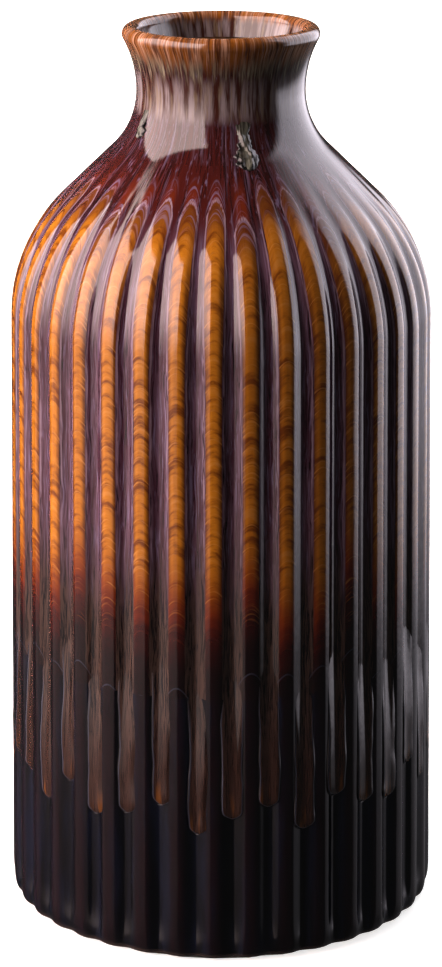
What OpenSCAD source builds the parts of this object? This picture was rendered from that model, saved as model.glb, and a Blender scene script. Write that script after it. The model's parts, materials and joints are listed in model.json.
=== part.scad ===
// Stoneware bottle vase with vertical ribs, in millimetres.
// The clay is thrown in three sections: body, shoulder and neck.
// Every coat of glaze is a closed shell of its own.
// Origin: centre of the resting face. +Z runs up the vase. One rib faces -Y.

/* [Vase] */
// height from the resting face to the top of the lip
vase_h = 300; // [250:1:360]
// greatest width, measured over the ribs just above the foot
body_d = 145.2; // [120:1:176]
// how much smaller the radius is where the shoulder starts
body_taper = 2.6; // [0:0.2:4]
// width of the neck at its narrowest
neck_d = 55.6; // [46:0.5:68]
// how far the lip reaches out beyond the narrowest part of the neck
rim_flare = 4.6; // [3:0.2:8]
// thickness of the rolled lip
lip_t = 5.6; // [4.5:0.1:7]
// steepest lean of the shoulder away from upright, in degrees
shoulder_slope = 46; // [38:1:52]

/* [Clay] */
// clay thickness behind the bottom of a flute
wall_t = 4.8; // [3.5:0.1:7]
// clay thickness of the floor
floor_t = 7; // [5:0.5:10]
// width of the unglazed ring the vase stands on
foot_w = 10; // [6:0.5:14]
// depth of the hollow under the floor, inside the foot ring
foot_recess = 2; // [1:0.25:4]

/* [Ribs] */
// number of ribs round the body
rib_count = 37; // [24:1:44]
// height of a rib crest above the bottom of its flute
rib_depth = 2; // [1:0.1:3]

/* [Glaze] */
// glaze thickness on crests, on the neck and inside
coat_t = 0.6; // [0.4:0.1:1]
// glaze thickness where it pools in a flute
pool_t = 1; // [0.6:0.1:1.6]
// glaze stands this far above the resting face
bare_h = 1.2; // [0.8:0.1:3]
// thickness of a glaze run at its rounded tip
run_t = 0.8; // [0.5:0.1:1.2]
// width of a glaze run
run_w = 7.4; // [5:0.1:9]

/* [Hidden] */

$fn = 180;
rib_steps = 6;
ring_points = rib_count * rib_steps;

// heights, tied to the height of the whole vase
edge_h = 8;
base_line = vase_h * 0.307;
run_end = vase_h * 0.167;
run_vary = vase_h * 0.018;
run_floor = vase_h * 0.12;
shoulder_z = vase_h * 0.677;
seam_z = vase_h * 0.66;
rib_fade_z = vase_h * 0.8;
neck_z = vase_h * 0.93;
mouth_line = vase_h - 9;

// radii
body_r = body_d / 2;
top_r = body_r - body_taper;
neck_r = neck_d / 2;
edge_in = 2.2;
rib_rel = rib_depth / body_r;
rib_back = rib_depth + pool_t + wall_t;
neck_back = coat_t + wall_t;
inside_drop = 3;
corner_r = 9;
floor_z = foot_recess + floor_t;
foot_r = body_r - edge_in - rib_depth - 1.5;

// shoulder: an outward arc, a straight slope and an inward arc
shoulder_share = 0.685;
shoulder_parts = 5;
slope_parts = 3;
collar_parts = 10;

function mix(a, b, t) = a + (b - a) * t;
function ease(t) = t <= 0 ? 0 : t >= 1 ? 1 : t * t * (3 - 2 * t);

function lean(dr, dz) = min(shoulder_slope, 2 * atan(dr / dz) - 1);
function arc_sum(dr, dz, a) = (dz * sin(a) - dr * cos(a)) / (1 - cos(a));

// the outward arc from [r0, z0] on its way to [r1, z1]
function shoulder_arc(r0, z0, r1, z1, parts) =
    let (a = lean(r0 - r1, z1 - z0))
    let (big = arc_sum(r0 - r1, z1 - z0, a) * shoulder_share)
    [for (i = [0:parts]) let (q = a * i / parts)
        [r0 - big * (1 - cos(q)), z0 + big * sin(q)]];

// the inward arc that ends upright at [r1, z1]
function collar_arc(r0, z0, r1, z1, parts) =
    let (a = lean(r0 - r1, z1 - z0))
    let (small = arc_sum(r0 - r1, z1 - z0, a) * (1 - shoulder_share))
    [for (i = [0:parts]) let (q = a * (1 - i / parts))
        [r1 + small * (1 - cos(q)), z1 - small * sin(q)]];

function crest_r(z) = mix(body_r, top_r, (z - edge_h) / (shoulder_z - edge_h));

shoulder_path = shoulder_arc(top_r, shoulder_z, neck_r, neck_z, shoulder_parts);
collar_path = collar_arc(top_r, shoulder_z, neck_r, neck_z, collar_parts);
slope_from = shoulder_path[shoulder_parts];
joint = collar_path[0];
joint_z = joint[1];

// stations of the ribbed wall: [crest radius, height, how much of the rib depth is left]
function station(r, z) = [r, z, 1 - ease((z - rib_fade_z) / (joint_z - rib_fade_z))];
edge_path = [
    station(body_r - edge_in * 0.85, bare_h),
    station(body_r - edge_in * 0.3, bare_h + (edge_h - bare_h) * 0.3),
    station(body_r, edge_h)];
base_path = concat(edge_path, [station(crest_r(base_line), base_line)]);
dome_path = concat(
    [for (p = shoulder_path) station(p[0], p[1])],
    [for (i = [1:slope_parts]) let (p = mix(slope_from, joint, i / slope_parts))
        station(p[0], p[1])]);
foot_path = [station(body_r - edge_in * 1.5, 0)];

// one ring of points round the vase; deep = 1 gives the clay under the glaze
function ring(s, deep) = [for (k = [0:ring_points - 1])
    let (w = s[2] * (1 - cos(360 * k / rib_steps)) / 2)
    let (r = s[0] * (1 - rib_rel * w) - deep * mix(coat_t, pool_t, w))
    let (a = 360 * k / ring_points - 90)
    [r * cos(a), r * sin(a), s[1]]];

function band(lo, hi, inward) = [for (k = [0:ring_points - 1])
    let (n = (k + 1) % ring_points)
    each inward
        ? [[lo + k, lo + n, hi + n], [lo + k, hi + n, hi + k]]
        : [[lo + k, hi + n, lo + n], [lo + k, hi + k, hi + n]]];

// closed solid up a list of stations
module ribbed_solid(path, deep) {
    top = (len(path) - 1) * ring_points;
    polyhedron(
        points = [for (s = path) each ring(s, deep)],
        faces = concat(
            [[for (k = [0:ring_points - 1]) k]],
            [for (i = [0:len(path) - 2])
                each band(i * ring_points, (i + 1) * ring_points, false)],
            [[for (k = [0:ring_points - 1]) top + ring_points - 1 - k]]),
        convexity = 10);
}

// closed coat of glaze up a list of stations
module ribbed_coat(path) {
    n = ring_points;
    half = len(path) * n;
    top = half - n;
    polyhedron(
        points = concat(
            [for (s = path) each ring(s, 0)],
            [for (s = path) each ring(s, 1)]),
        faces = concat(
            [for (i = [0:len(path) - 2]) each band(i * n, (i + 1) * n, false)],
            [for (i = [0:len(path) - 2]) each band(half + i * n, half + (i + 1) * n, true)],
            [for (k = [0:n - 1]) let (m = (k + 1) % n) [k, m, half + m, half + k]],
            [for (k = [0:n - 1]) let (m = (k + 1) % n)
                [top + k, half + top + k, half + top + m, top + m]]),
        convexity = 10);
}

// lip roll and the flare that runs into it
lip_r = lip_t / 2;
lip_c = [neck_r + rim_flare - lip_r, vase_h - lip_r];
lip_dx = neck_r - lip_c[0];
lip_dz = lip_c[1] - neck_z;
flare_r = (lip_dx * lip_dx + lip_dz * lip_dz - lip_r * lip_r) / (2 * (lip_r - lip_dx));
flare_a = atan(lip_dz / (flare_r + lip_dx));
flare_parts = 8;
lip_parts = 14;

// outer line of the neck from the joint to the inner side of the lip
function neck_line(deep) = concat(
    [for (p = collar_path) [p[0] - deep, p[1]]],
    [for (i = [1:flare_parts]) let (q = flare_a * i / flare_parts)
        [neck_r + flare_r - (flare_r + deep) * cos(q), neck_z + (flare_r + deep) * sin(q)]],
    [for (i = [1:lip_parts]) let (q = mix(-flare_a, 180, i / lip_parts))
        [lip_c[0] + (lip_r - deep) * cos(q), lip_c[1] + (lip_r - deep) * sin(q)]]);

// line of the hollow from the axis of the floor to the lip
function hollow_line(deep) =
    let (back = rib_back + deep)
    let (wall_low = body_r - back)
    let (wall_top = top_r - back)
    let (bore_r = neck_r - neck_back - deep)
    let (low_z = floor_z + deep)
    let (top_z = shoulder_z - inside_drop)
    let (bore_z = neck_z - inside_drop)
    let (lip_in = lip_c[0] - lip_r + coat_t - deep)
    concat(
        [[0, low_z]],
        [for (i = [0:6]) let (q = 15 * i)
            [wall_low - corner_r * (1 - sin(q)), low_z + corner_r * (1 - cos(q))]],
        shoulder_arc(wall_top, top_z, bore_r, bore_z, 8),
        collar_arc(wall_top, top_z, bore_r, bore_z, 8),
        [for (i = [1:8]) let (t = i / 8)
            [mix(bore_r, lip_in, ease(t)), mix(bore_z, lip_c[1], t)]]);

module hollow_shape(deep) {
    polygon(concat(hollow_line(deep), [[0, lip_c[1]]]));
}

// unglazed stoneware: floor, foot ring and ribbed wall
module clay_body() {
    color("BurlyWood")
    difference() {
        ribbed_solid(concat(foot_path, base_path, [dome_path[0]]), 1);
        rotate_extrude() hollow_shape(0);
        translate([0, 0, -1]) cylinder(r = foot_r - foot_w, h = foot_recess + 1);
        translate([0, 0, seam_z]) cylinder(r = body_d, h = vase_h);
    }
}

// unglazed stoneware: ribbed shoulder, luted on the wall
module clay_shoulder() {
    color("Wheat")
    difference() {
        ribbed_solid(concat([base_path[len(base_path) - 1]], dome_path), 1);
        rotate_extrude() hollow_shape(0);
        cylinder(r = body_d, h = seam_z);
    }
}

// unglazed stoneware collar and lip, luted on top of the shoulder
module clay_neck() {
    color("Tan")
    rotate_extrude()
        difference() {
            polygon(concat([[0, joint_z]], neck_line(coat_t), [[0, lip_c[1]]]));
            hollow_shape(0);
        }
}

// glaze inside the vase, from the floor to just under the lip
module liner_glaze() {
    color("RosyBrown")
    rotate_extrude()
        difference() {
            hollow_shape(0);
            hollow_shape(coat_t);
            translate([0, mouth_line]) square([body_r, vase_h]);
        }
}

// dark coat from the foot to the line where the runs begin
module base_glaze() {
    color("MidnightBlue")
    ribbed_coat(base_path);
}

// amber and plum coat over the ribs and the shoulder
module body_glaze() {
    color("Chocolate")
    ribbed_coat(concat([base_path[len(base_path) - 1]], dome_path));
}

// coat of the neck, rolled over the lip and a little way into the mouth
module neck_glaze() {
    color("Maroon")
    rotate_extrude() {
        difference() {
            polygon(concat([[0, joint_z]], neck_line(0), [[0, lip_c[1]]]));
            polygon(concat([[0, joint_z]], neck_line(coat_t), [[0, lip_c[1]]]));
        }
        difference() {
            hollow_shape(0);
            hollow_shape(coat_t);
            square([body_r, mouth_line]);
        }
    }
}

// tapered prism with one flat in front of every flute, at the outer face of the runs
module run_envelope() {
    n = rib_count;
    low = crest_r(run_floor) * (1 - rib_rel) + run_t;
    high = crest_r(base_line) * (1 - rib_rel) + run_t / 2;
    polyhedron(
        points = [for (e = [[low, run_floor], [high, base_line]], k = [0:n - 1])
            let (r = e[0] / cos(180 / n), a = 360 * k / n - 90)
                [r * cos(a), r * sin(a), e[1]]],
        faces = concat(
            [[for (k = [0:n - 1]) k]],
            [for (k = [0:n - 1]) let (m = (k + 1) % n) [k, n + k, n + m, m]],
            [[for (k = [0:n - 1]) 2 * n - 1 - k]]));
}

// flat outline of a run: tip at the origin, running up
module run_outline(w, length) {
    translate([0, w / 2]) circle(d = w);
    translate([-w / 2, w / 2]) square([w, length - w / 2]);
}

// runs of the upper coat down the flutes, over the dark coat
module glaze_runs() {
    color("SaddleBrown")
    difference() {
        intersection() {
            for (i = [0:rib_count - 1]) {
                tip = run_end + run_vary * sin(i * 137.5);
                rotate([0, 0, (i + 0.5) * 360 / rib_count])
                    translate([0, -body_r - 2, tip])
                        rotate([90, 0, 180])
                            linear_extrude(8) run_outline(run_w, base_line - tip);
            }
            run_envelope();
        }
        ribbed_solid([for (z = [run_floor - 1, base_line + 1]) station(crest_r(z), z)], 0);
    }
}

// two crawled runs of the lip glaze: [angle from the front, height of the tip, width]
neck_run_list = [
    [14, 0.01, 6.2],
    [-58, 0.035, 4.4]];

module neck_runs() {
    strip = [for (p = collar_path) [p[0] + run_t * 0.6, p[1]]];
    back = [for (i = [0:collar_parts]) collar_path[collar_parts - i]];
    color("DarkKhaki")
    intersection() {
        for (n = neck_run_list) {
            tip = joint_z + n[1] * vase_h;
            rotate([0, 0, n[0]])
                translate([0, -neck_r + 6, tip])
                    rotate([90, 0, 0])
                        linear_extrude(20) run_outline(n[2], neck_z - tip - 1);
        }
        rotate_extrude() polygon(concat(strip, back));
    }
}

clay_body();
clay_shoulder();
clay_neck();
liner_glaze();
base_glaze();
body_glaze();
neck_glaze();
glaze_runs();
neck_runs();
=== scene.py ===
import json
import math

import bmesh
import bpy
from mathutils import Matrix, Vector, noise


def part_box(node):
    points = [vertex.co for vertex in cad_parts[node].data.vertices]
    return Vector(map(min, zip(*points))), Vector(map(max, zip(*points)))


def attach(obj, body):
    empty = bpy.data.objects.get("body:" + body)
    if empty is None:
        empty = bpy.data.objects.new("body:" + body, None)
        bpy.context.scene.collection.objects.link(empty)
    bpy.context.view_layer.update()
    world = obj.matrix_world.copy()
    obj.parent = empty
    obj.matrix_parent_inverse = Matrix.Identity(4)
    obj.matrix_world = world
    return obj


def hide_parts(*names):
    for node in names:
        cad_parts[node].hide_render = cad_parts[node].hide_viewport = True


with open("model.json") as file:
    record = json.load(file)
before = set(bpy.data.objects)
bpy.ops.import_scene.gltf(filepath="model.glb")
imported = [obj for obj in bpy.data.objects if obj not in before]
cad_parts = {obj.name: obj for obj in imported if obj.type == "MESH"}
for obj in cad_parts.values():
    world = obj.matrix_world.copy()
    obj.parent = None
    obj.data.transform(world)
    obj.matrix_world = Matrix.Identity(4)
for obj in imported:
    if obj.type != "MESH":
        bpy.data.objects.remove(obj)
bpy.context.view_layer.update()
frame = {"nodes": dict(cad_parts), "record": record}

mm = 0.001

# sizes that the glaze coats share, in millimetres
vaseShape = {
    "ribCount": 37,
    "ribDepth": 2.0,        # crest above the bottom of its flute
    "crestFullness": 1.5,   # 1 for even waves, more for broad crests and tight flutes
    "coat": 0.6,            # glaze on crests, neck and inside
    "pool": 1.0,            # glaze in a flute
    "edgeHeight": 8.0,      # rounding above the foot
    "edgeIn": 1.9,          # how far the rounding pulls in
    "taper": 2.6,           # radius lost up to the shoulder
    "shoulderShare": 0.677, # of the height, where the shoulder starts
    "ribFadeShare": 0.725,  # of the height, where the ribs begin to fade
    "neckShare": 0.93,      # of the height, where the neck is narrowest
    "neckWidth": 55.6,
    "rimFlare": 4.6,
    "lipThickness": 5.6,
    "clayWall": 4.8,
    "floorTop": 9.0,        # clay floor of the hollow above the table
    "hollowCorner": 9.0,    # rounding between floor and wall
    "hollowEase": 3.0,      # the hollow bends this much lower than the outside
    "mouthDepth": 9.0,      # how far the neck glaze reaches down inside
    "footFill": 0.45,       # share of a flute that glaze fills at the foot
    "footFillHeight": 11.0,
    "slope": 46.0,          # steepest lean of the shoulder, degrees
    "outerArcShare": 0.685,
    "unevenness": 0.10,     # how far the hand-dipped glaze swells and thins
    "archRise": 9.5,        # how much lower glaze hangs in the flutes than on the crests
    "seed": 4,
}

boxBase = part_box("base_glaze")
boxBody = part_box("body_glaze")
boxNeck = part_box("neck_glaze")
bareEdge = boxBase[0].z / mm
baseLine = boxBase[1].z / mm
jointHeight = boxBody[1].z / mm
vaseHeight = boxNeck[1].z / mm
crestRadius = -boxBase[0].y / mm
shoulderHeight = vaseHeight * vaseShape["shoulderShare"]
fadeHeight = vaseHeight * vaseShape["ribFadeShare"]
neckHeight = vaseHeight * vaseShape["neckShare"]
shoulderRadius = crestRadius - vaseShape["taper"]
neckRadius = vaseShape["neckWidth"] / 2
lipRadius = neckRadius + vaseShape["rimFlare"]
print("frame read, vase height", round(vaseHeight, 1), "mm")


def linear(code, alpha=1.0):
    # sRGB hex to the linear values that Blender mixes in
    parts = [int(code[i:i + 2], 16) / 255 for i in (1, 3, 5)]
    return [c / 12.92 if c <= 0.04045 else ((c + 0.055) / 1.055) ** 2.4 for c in parts] + [alpha]


def addNode(tree, kind, inputs=(), **settings):
    # adds a node; inputs take a value, a socket or another node
    node = tree.nodes.new(kind)
    for name, value in settings.items():
        setattr(node, name, value)
    for key, value in dict(inputs).items():
        socket = node.inputs[key] if isinstance(key, int) else next(
            s for s in node.inputs if s.name == key and s.enabled)
        if isinstance(value, bpy.types.Node):
            value = next(s for s in value.outputs if s.enabled)
        if isinstance(value, bpy.types.NodeSocket):
            tree.links.new(value, socket)
        else:
            socket.default_value = value
    return node


# the outline: straight wall, shoulder bend, neck bend, flare and lip

def smooth(t):
    t = min(max(t, 0.0), 1.0)
    return t * t * (3 - 2 * t)


def bends(start, end):
    # steepest slope, and the radii of the outward and the inward arc that join start to end
    slope = math.radians(vaseShape["slope"])
    across, up = start[0] - end[0], end[1] - start[1]
    both = (up * math.sin(slope) - across * math.cos(slope)) / (1 - math.cos(slope))
    return slope, both * vaseShape["outerArcShare"], both * (1 - vaseShape["outerArcShare"])


def outerArc(start, end, parts):
    # the arc that bends from upright at start to the steepest slope
    slope, big, _ = bends(start, end)
    turns = [slope * i / parts for i in range(parts + 1)]
    return [(start[0] - big * (1 - math.cos(q)), start[1] + big * math.sin(q)) for q in turns]


def innerArc(start, end, parts):
    # the arc that bends from the slope to upright at end
    slope, _, small = bends(start, end)
    turns = [slope * (1 - i / parts) for i in range(parts + 1)]
    return [(end[0] + small * (1 - math.cos(q)), end[1] - small * math.sin(q)) for q in turns]


def between(a, b, parts):
    # points after a, up to and with b
    return [(a[0] + (b[0] - a[0]) * i / parts, a[1] + (b[1] - a[1]) * i / parts)
            for i in range(1, parts + 1)]


def crestAt(height):
    share = (height - vaseShape["edgeHeight"]) / (shoulderHeight - vaseShape["edgeHeight"])
    return crestRadius - vaseShape["taper"] * share


def relief(height):
    # how much of the rib depth is left at this height; glaze fills the flutes a little at the foot
    filled = vaseShape["footFill"] * (1 - smooth((height - bareEdge) / vaseShape["footFillHeight"]))
    return (1 - filled) * (1 - smooth((height - fadeHeight) / (jointHeight - fadeHeight)))


shoulderStart = (shoulderRadius, shoulderHeight)
neckPoint = (neckRadius, neckHeight)
shoulderLine = outerArc(shoulderStart, neckPoint, 34)
collarLine = innerArc(shoulderStart, neckPoint, 44)
jointPoint = collarLine[0]


def edgeLine():
    # rounded bottom edge of the dark coat, from the bare foot up
    steps = 9
    pull, rise = vaseShape["edgeIn"], vaseShape["edgeHeight"] - bareEdge
    turns = [math.pi / 2 * i / steps for i in range(steps + 1)]
    return [(crestRadius - pull * (1 - math.sin(q) ** 0.8), bareEdge + rise * (1 - math.cos(q)))
            for q in turns]


def lipLine():
    # flare above the narrowest part, then the rolled lip to its inner side
    lipR = vaseShape["lipThickness"] / 2
    centre = (lipRadius - lipR, vaseHeight - lipR)
    dx, dz = neckRadius - centre[0], centre[1] - neckHeight
    flareR = (dx * dx + dz * dz - lipR * lipR) / (2 * (lipR - dx))
    flareTurn = math.atan2(dz, flareR + dx)
    line = []
    for i in range(1, 19):
        q = flareTurn * i / 18
        line.append((neckRadius + flareR - flareR * math.cos(q), neckHeight + flareR * math.sin(q)))
    for i in range(1, 29):
        q = -flareTurn + (math.pi + flareTurn) * i / 28
        line.append((centre[0] + lipR * math.cos(q), centre[1] + lipR * math.sin(q)))
    return line


def hollowLine(back):
    # line of the hollow, back = how far behind the clay's inner face
    wall, ease = vaseShape["clayWall"] + back, vaseShape["hollowEase"]
    ribBack = vaseShape["ribDepth"] + vaseShape["pool"] + wall
    low, floor = crestRadius - ribBack, vaseShape["floorTop"] + back
    start = (shoulderRadius - ribBack, shoulderHeight - ease)
    bore = (neckRadius - vaseShape["coat"] - wall, neckHeight - ease)
    lipIn = lipRadius - vaseShape["lipThickness"] + vaseShape["coat"] - back
    top = vaseHeight - vaseShape["lipThickness"] / 2
    corner = vaseShape["hollowCorner"]
    line = [(0.0, floor)]
    for i in range(7):
        q = math.radians(15 * i)
        line.append((low - corner * (1 - math.sin(q)), floor + corner * (1 - math.cos(q))))
    line += outerArc(start, bore, 14)
    line += innerArc(start, bore, 18)
    for i in range(1, 13):
        line.append((bore[0] + (lipIn - bore[0]) * (i / 12) ** 1.6, bore[1] + (top - bore[1]) * i / 12))
    return line


def profileMesh(name, outer, inner):
    # a closed line: up the outer points, then down the inner ones; millimetres to metres
    loop = [(r, z, 0.0) for r, z in outer] + [(r, z, 1.0) for r, z in reversed(inner)]
    loop.append(loop[0])
    points = [p for i, p in enumerate(loop) if i == 0 or math.dist(p, loop[i - 1]) > 0.001]
    mesh = bpy.data.meshes.new(name)
    mesh.from_pydata([(r * mm, 0, z * mm) for r, z, _ in points],
                     [(i, i + 1) for i in range(len(points) - 1)], [])
    reliefValues = mesh.attributes.new("relief", "FLOAT", "POINT")
    inwardValues = mesh.attributes.new("inward", "FLOAT", "POINT")
    reliefValues.data.foreach_set("value", [relief(z) for _, z, _ in points])
    inwardValues.data.foreach_set("value", [side for _, _, side in points])
    return mesh


# what the trees for the coats and for the runs share

def startTree(name, start, sizes, result):
    # a tree with a named input for each of its sizes
    tree = bpy.data.node_groups.new(name, "GeometryNodeTree")
    tree.interface.new_socket(start, in_out="INPUT", socket_type="NodeSocketGeometry")
    for label, (kind, value) in sizes.items():
        socket = tree.interface.new_socket(label, in_out="INPUT", socket_type="NodeSocket" + kind)
        if value is not None:
            socket.default_value = value
    tree.interface.new_socket(result, in_out="OUTPUT", socket_type="NodeSocketGeometry")
    return tree, addNode(tree, "NodeGroupInput")


def ribbing(tree, given, angle, relief=1.0):
    # depth: 0 on a crest, 1 in a full flute; keep: the share of the crest radius that is left
    wave = addNode(tree, "ShaderNodeMath", {0: angle}, operation="COSINE")
    dip = addNode(tree, "ShaderNodeMath", {0: wave, 1: -0.5, 2: 0.5}, operation="MULTIPLY_ADD")
    tight = addNode(tree, "ShaderNodeMath", {0: dip, 1: given.outputs["Crest Fullness"]}, operation="POWER")
    depth = addNode(tree, "ShaderNodeMath", {0: tight, 1: relief}, operation="MULTIPLY")
    cut = addNode(tree, "ShaderNodeMath", {0: depth, 1: given.outputs["Rib Depth Share"]},
                  operation="MULTIPLY")
    return depth, addNode(tree, "ShaderNodeMath", {0: 1.0, 1: cut}, operation="SUBTRACT")


def onRing(tree, turn, radius, height):
    # the point at this angle, radius and height
    level = []
    for way in ("COSINE", "SINE"):
        share = addNode(tree, "ShaderNodeMath", {0: turn}, operation=way)
        level.append(addNode(tree, "ShaderNodeMath", {0: share, 1: radius}, operation="MULTIPLY"))
    return addNode(tree, "ShaderNodeCombineXYZ", {0: level[0], 1: level[1], 2: height})


# this tree turns a closed line into a ribbed coat of glaze

def buildCoatTree():
    tree, given = startTree("ribbedCoat", "Line", {
        "Rib Count": ("Int", vaseShape["ribCount"]),
        "Columns Per Rib": ("Int", 24),
        "Rib Depth Share": ("Float", vaseShape["ribDepth"] / crestRadius),
        "Crest Fullness": ("Float", vaseShape["crestFullness"]),
        "Coat": ("Float", vaseShape["coat"] * mm),
        "Pool": ("Float", vaseShape["pool"] * mm),
        "Unevenness": ("Float", vaseShape["unevenness"] * mm),
        "Seed": ("Float", vaseShape["seed"]),
        "Glaze": ("Material", None),
    }, "Coat Mesh")
    line = given.outputs["Line"]
    ribs = given.outputs["Rib Count"]
    rows = addNode(tree, "GeometryNodeAttributeDomainSize", {"Geometry": line}).outputs["Point Count"]
    columns = addNode(tree, "ShaderNodeMath", {0: ribs, 1: given.outputs["Columns Per Rib"]},
                      operation="MULTIPLY")
    around = addNode(tree, "ShaderNodeMath", {0: columns, 1: 1.0}, operation="ADD")
    grid = addNode(tree, "GeometryNodeMeshGrid", {"Vertices X": around, "Vertices Y": rows})

    # which column and which row a grid point is in
    index = addNode(tree, "GeometryNodeInputIndex")
    columnExact = addNode(tree, "ShaderNodeMath", {0: index, 1: rows}, operation="DIVIDE")
    halfStep = addNode(tree, "ShaderNodeMath", {0: index, 1: 0.5}, operation="ADD")
    columnHalf = addNode(tree, "ShaderNodeMath", {0: halfStep, 1: rows}, operation="DIVIDE")
    column = addNode(tree, "ShaderNodeMath", {0: columnHalf}, operation="FLOOR")
    rowStart = addNode(tree, "ShaderNodeMath", {0: column, 1: rows}, operation="MULTIPLY")
    row = addNode(tree, "ShaderNodeMath", {0: index, 1: rowStart}, operation="SUBTRACT")

    def sample(kind, value):
        return addNode(tree, "GeometryNodeSampleIndex",
                       {"Geometry": line, "Value": value, "Index": row}, data_type=kind)

    place = sample("FLOAT_VECTOR", addNode(tree, "GeometryNodeInputPosition"))
    reliefHere = sample("FLOAT", addNode(tree, "GeometryNodeInputNamedAttribute", {"Name": "relief"},
                                         data_type="FLOAT"))
    inwardHere = sample("FLOAT", addNode(tree, "GeometryNodeInputNamedAttribute", {"Name": "inward"},
                                         data_type="FLOAT"))
    axes = addNode(tree, "ShaderNodeSeparateXYZ", {0: place})

    # the ribs: the seam lies in the flute at the back, a crest faces the front
    share = addNode(tree, "ShaderNodeMath", {0: column, 1: columns}, operation="DIVIDE")
    turn = addNode(tree, "ShaderNodeMath", {0: share, 1: math.tau, 2: math.pi / 2},
                   operation="MULTIPLY_ADD")
    front = addNode(tree, "ShaderNodeMath", {0: share, 1: 0.5}, operation="SUBTRACT")
    ribTurn = addNode(tree, "ShaderNodeMath", {0: front, 1: math.tau}, operation="MULTIPLY")
    ribAngle = addNode(tree, "ShaderNodeMath", {0: ribTurn, 1: ribs}, operation="MULTIPLY")
    depth, keep = ribbing(tree, given, ribAngle, reliefHere)
    outside = addNode(tree, "ShaderNodeMath", {0: axes.outputs[0], 1: keep}, operation="MULTIPLY")
    thick = addNode(tree, "ShaderNodeMapRange",
                    {"Value": depth, "To Min": given.outputs["Coat"], "To Max": given.outputs["Pool"]})
    behind = addNode(tree, "ShaderNodeMath", {0: thick, 1: inwardHere}, operation="MULTIPLY")
    radius = addNode(tree, "ShaderNodeMath", {0: outside, 1: behind}, operation="SUBTRACT")

    # slow swelling of the glaze, the same for every coat that meets here
    swellRise = addNode(tree, "ShaderNodeMath", {0: axes.outputs[2], 1: 34.0}, operation="MULTIPLY")
    swells = addNode(tree, "ShaderNodeTexNoise",
                     {"Vector": onRing(tree, turn, 5.0, swellRise), "W": given.outputs["Seed"],
                      "Scale": 1.0, "Detail": 2.0}, noise_dimensions="4D")
    swell = addNode(tree, "ShaderNodeMath", {0: swells.outputs[0], 1: 0.5}, operation="SUBTRACT")
    swellSize = addNode(tree, "ShaderNodeMath", {0: swell, 1: given.outputs["Unevenness"]},
                        operation="MULTIPLY")
    onlyOut = addNode(tree, "ShaderNodeMath", {0: 1.0, 1: inwardHere}, operation="SUBTRACT")
    swellOut = addNode(tree, "ShaderNodeMath", {0: swellSize, 1: onlyOut}, operation="MULTIPLY")
    swollen = addNode(tree, "ShaderNodeMath", {0: swellOut, 1: 2.0, 2: radius}, operation="MULTIPLY_ADD")

    target = onRing(tree, turn, swollen, axes.outputs[2])
    bent = addNode(tree, "GeometryNodeSetPosition", {"Geometry": grid.outputs["Mesh"], "Position": target})

    # seam and poles are joined, edges left over at a pole go, and corners stay crisp
    closed = addNode(tree, "GeometryNodeMergeByDistance", {"Geometry": bent, "Distance": 0.00001})
    neighbours = addNode(tree, "GeometryNodeInputMeshEdgeNeighbors")
    loose = addNode(tree, "ShaderNodeMath", {0: neighbours, 1: 0.5}, operation="LESS_THAN")
    clean = addNode(tree, "GeometryNodeDeleteGeometry", {"Geometry": closed, "Selection": loose},
                    domain="EDGE", mode="EDGE_FACE")
    rounded = addNode(tree, "GeometryNodeSetShadeSmooth", {0: clean}, domain="FACE")
    angle = addNode(tree, "GeometryNodeInputMeshEdgeAngle")
    sharp = addNode(tree, "ShaderNodeMath", {0: angle.outputs[0], 1: math.radians(30)},
                    operation="GREATER_THAN")
    edged = addNode(tree, "GeometryNodeSetShadeSmooth", {0: rounded, 1: sharp, 2: False}, domain="EDGE")
    real = addNode(tree, "GeometryNodeRealizeInstances", {0: edged})
    glazed = addNode(tree, "GeometryNodeSetMaterial", {0: real, "Material": given.outputs["Glaze"]})
    addNode(tree, "NodeGroupOutput", {0: glazed})
    return tree


def bakeNodes(name, mesh, tree, values):
    # runs the tree on the mesh and keeps the result as a plain mesh
    source = bpy.data.objects.new(name + "Source", mesh)
    bpy.context.scene.collection.objects.link(source)
    nodes = source.modifiers.new("nodes", "NODES")
    nodes.node_group = tree
    for item in tree.interface.items_tree:
        if item.in_out == "INPUT" and item.name in values:
            nodes[item.identifier] = values[item.name]
    evaluated = source.evaluated_get(bpy.context.evaluated_depsgraph_get())
    result = bpy.data.meshes.new_from_object(evaluated)
    source.modifiers.remove(nodes)
    bpy.data.objects.remove(source)
    glaze = values["Glaze"]
    result.materials.clear()
    result.materials.append(glaze)
    result.polygons.foreach_set("material_index", [0] * len(result.polygons))
    piece = bpy.data.objects.new(name, result)
    result.name = name
    bpy.context.scene.collection.objects.link(piece)
    return piece


def place(piece, slot, *nodes):
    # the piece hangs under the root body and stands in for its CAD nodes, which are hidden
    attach(piece, "root")
    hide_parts(*nodes)
    print(piece.name, "made,", len(piece.data.polygons), "faces")


# what every glaze shader shares

def newGlaze(name):
    material = bpy.data.materials.new(name)
    material.use_nodes = True
    tree = material.node_tree
    tree.nodes.clear()
    shader = addNode(tree, "ShaderNodeBsdfPrincipled")
    addNode(tree, "ShaderNodeOutputMaterial", {"Surface": shader})
    return material, tree, shader


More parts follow.
